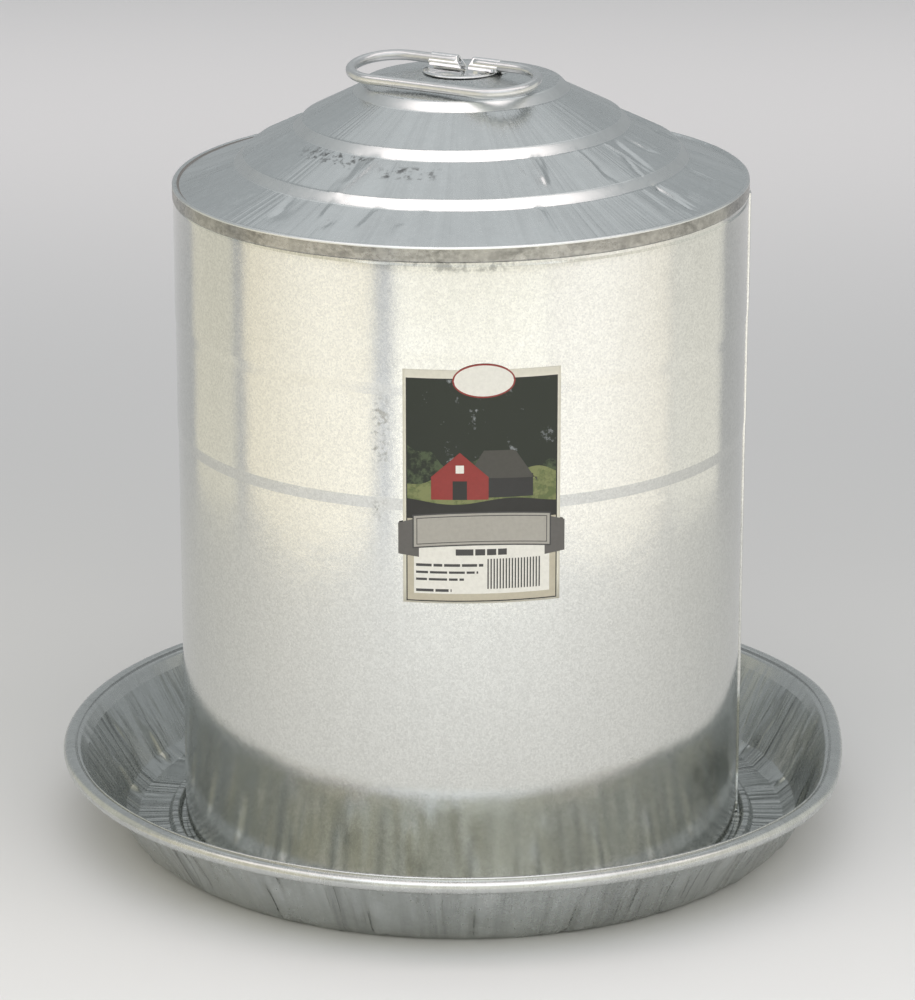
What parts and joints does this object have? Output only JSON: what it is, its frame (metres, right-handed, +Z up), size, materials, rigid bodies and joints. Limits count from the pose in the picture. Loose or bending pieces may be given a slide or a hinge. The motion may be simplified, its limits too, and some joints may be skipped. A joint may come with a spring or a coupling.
{
  "type": "poultry waterer fount",
  "caption": "Double-wall galvanised poultry fount: round drinking pan with fixed inner tank, twist-lock cover with stepped cap, oval wire bail and outlet valve.",
  "frame": {"origin": "centre of the pan's underside, on the surface that it stands on", "axes": "+Z up along the fount's axis; the label faces -Y; the cover's vertical lock seam is at +X; the outlet valve is at +Y"},
  "size_m": [0.4196, 0.4196, 0.4104],
  "materials": {
    "galvanised": "hot-dip galvanised sheet, semi-gloss",
    "solder": "dull tin solder",
    "brass": "plain brass",
    "rivet": "zinc plated",
    "steel_pin": "drawn steel",
    "rubber": "matte",
    "sealant": "cured sealing compound",
    "paper_label": null,
    "bright_zinc": "bright zinc",
    "bright_wire": "bright galvanised wire"
  },
  "bodies": {
    "base": {"pan": "galvanised", "tank_shell": "galvanised", "tank_bottom": "galvanised", "tank_solder": "solder", "outlet_eyelet": "brass", "valve_bracket": "galvanised", "bracket_rivets": "rivet", "valve_pin": "steel_pin", "valve_spring": "steel_pin", "lock_lugs": "galvanised", "lug_rivets": "rivet"},
    "valve": {"valve_lever": "galvanised", "valve_pad": "rubber", "pad_rivet": "rivet"},
    "seal": {"cap_seal_ring": "sealant"},
    "cover": {"cover_shell": "galvanised", "cover_cap": "galvanised", "lock_tabs": "galvanised", "valve_cam": "galvanised", "label": "paper_label", "bail_bracket": "bright_zinc"},
    "bail": {"bail": "bright_wire"}
  },
  "joints": [
    {"name": "cover_lift", "type": "slide", "parent": "base", "child": "seal", "axis": [0, 0, 1], "range_m": [0, 0.345]},
    {"name": "cover_twist", "type": "hinge", "parent": "seal", "child": "cover", "pos_m": [0, 0, 0.2], "axis": [0, 0, -1], "range_deg": [0, 12]},
    {"name": "valve_open", "type": "hinge", "parent": "base", "child": "valve", "pos_m": [0, 0.142, 0.015], "axis": [0, 0, 1], "range_deg": [0, 6.5]},
    {"name": "bail_swing", "type": "hinge", "parent": "cover", "child": "bail", "pos_m": [0, 0, 0.4067], "axis": [-0.866, 0.5, 0], "range_deg": [0, 192.8]}
  ],
  "couplings": [
    {"joint": "valve_open", "follows": "cover_twist", "ratio": 0.54}
  ]
}
